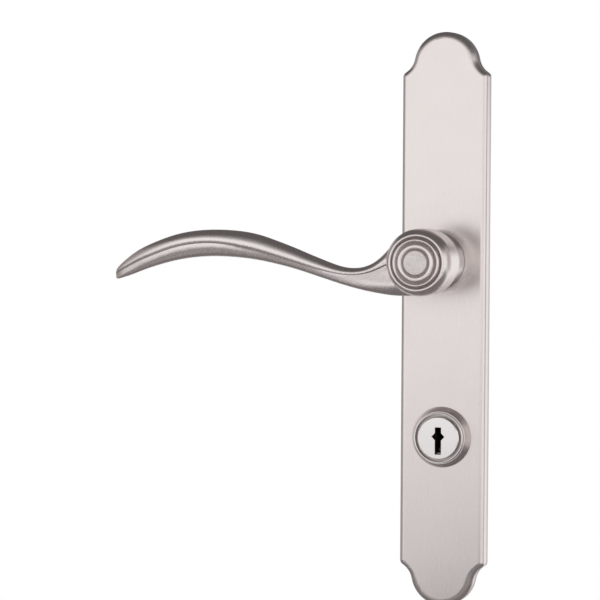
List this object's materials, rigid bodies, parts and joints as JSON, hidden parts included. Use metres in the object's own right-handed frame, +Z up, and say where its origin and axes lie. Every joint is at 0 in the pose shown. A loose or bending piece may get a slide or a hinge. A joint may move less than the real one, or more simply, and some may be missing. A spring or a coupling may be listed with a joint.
{
  "type": "storm door handle set",
  "caption": "Outside half of a storm door handle set: long escutcheon plate with domed ends, sprung wave-shaped lever on a ringed hub, and a key cylinder with a tailpiece.",
  "frame": {"origin": "on the lever's spindle axis, in the plane of the door's face that the plate rests on", "axes": "+Z up along the plate, +Y into the door along the spindle, lever pointing to -X"},
  "size_m": [0.1542, 0.097, 0.2408],
  "materials": {
    "satin_nickel": "satin nickel plate, fine vertical brushing, slightly warm",
    "bright_nickel": "polished nickel plate",
    "zinc_steel": "zinc plated steel",
    "spring_steel": "oiled spring wire",
    "brass": "stamped brass",
    "nylon": "natural nylon"
  },
  "bodies": {
    "plate_body": {"escutcheon": "satin_nickel", "upper_post": "zinc_steel", "lower_post": "zinc_steel", "lever_rose": "satin_nickel", "lever_bushing": "nylon", "thrust_washer": "nylon", "return_spring": "spring_steel", "cylinder_collar": "satin_nickel", "cylinder_housing": "bright_nickel", "lock_washer": "zinc_steel", "cylinder_nut": "zinc_steel"},
    "lever_body": {"lever": "satin_nickel", "spindle": "zinc_steel", "spindle_pin": "zinc_steel", "spring_driver": "zinc_steel", "retaining_ring": "zinc_steel"},
    "plug_body": {"key_plug": "bright_nickel", "plug_clip": "zinc_steel", "tailpiece": "zinc_steel", "tailpiece_screws": "zinc_steel", "wafer_1": "brass", "wafer_2": "brass", "wafer_3": "brass", "wafer_4": "brass", "wafer_5": "brass"}
  },
  "joints": [
    {"name": "lever_turn", "type": "hinge", "parent": "plate_body", "child": "lever_body", "pos_m": [0, 0, 0], "axis": [0, -1, 0], "range_deg": [0, 45], "stiffness_Nm_per_rad": 0.5, "springref_deg": -40.11, "deforming": ["return_spring"]},
    {"name": "key_turn", "type": "hinge", "parent": "plate_body", "child": "plug_body", "pos_m": [0, 0, -0.074], "axis": [0, -1, 0], "range_deg": [-90, 90]}
  ]
}
